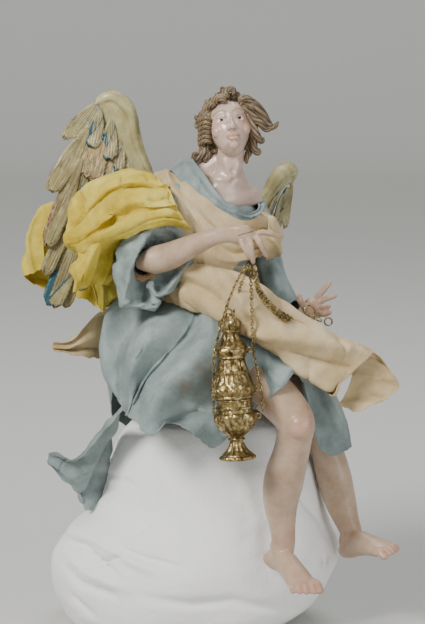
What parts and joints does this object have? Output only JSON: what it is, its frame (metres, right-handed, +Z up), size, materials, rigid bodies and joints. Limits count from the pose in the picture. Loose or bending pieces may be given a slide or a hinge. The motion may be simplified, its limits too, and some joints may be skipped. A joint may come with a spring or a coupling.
{
  "type": "angel figurine",
  "caption": "Dressed crib angel with painted wings, seated on a cloth-covered display mound and holding a gilt censer by its chains.",
  "frame": {"origin": "under the middle of the display mound, on the surface that it stands on", "axes": "+Z up, -Y towards the viewer of the picture, so that the angel faces between +X and -Y with its right arm towards -Y"},
  "size_m": [0.2765, 0.2226, 0.3931],
  "materials": {
    "white_cotton": "plain white cotton cloth, creased",
    "painted_flesh": "carved wood in satin flesh paint, aged brown on the legs",
    "painted_clay": "modelled clay in glossy flesh paint, with brown hair",
    "blue_silk": "faded blue-grey silk, stiffened, with dirt",
    "cream_silk": "cream silk, stiffened and crumpled",
    "yellow_silk": "yellow silk, stiffened",
    "painted_wing": "carved wood in cream paint, with blue-green and red-brown feather edges",
    "gilt_metal": "cast and chased brass, gilt, dark in the recesses",
    "tow": "twisted raw tow, straw brown"
  },
  "bodies": {
    "root": {"display_mound": "white_cotton", "right_leg": "painted_flesh", "left_leg": "painted_flesh", "right_arm": "painted_flesh", "left_arm": "painted_flesh", "elbow_tow": "tow", "head_and_shoulders": "painted_clay", "tunic": "blue_silk", "sash": "cream_silk", "mantle": "yellow_silk", "right_wing": "painted_wing", "left_wing": "painted_wing", "censer_bowl": "gilt_metal", "censer_lid": "gilt_metal", "chain_side": "gilt_metal", "chain_front": "gilt_metal", "chain_back": "gilt_metal", "spare_chain": "gilt_metal", "carry_ring": "gilt_metal", "end_ring_1": "gilt_metal", "end_ring_2": "gilt_metal"}
  },
  "joints": []
}
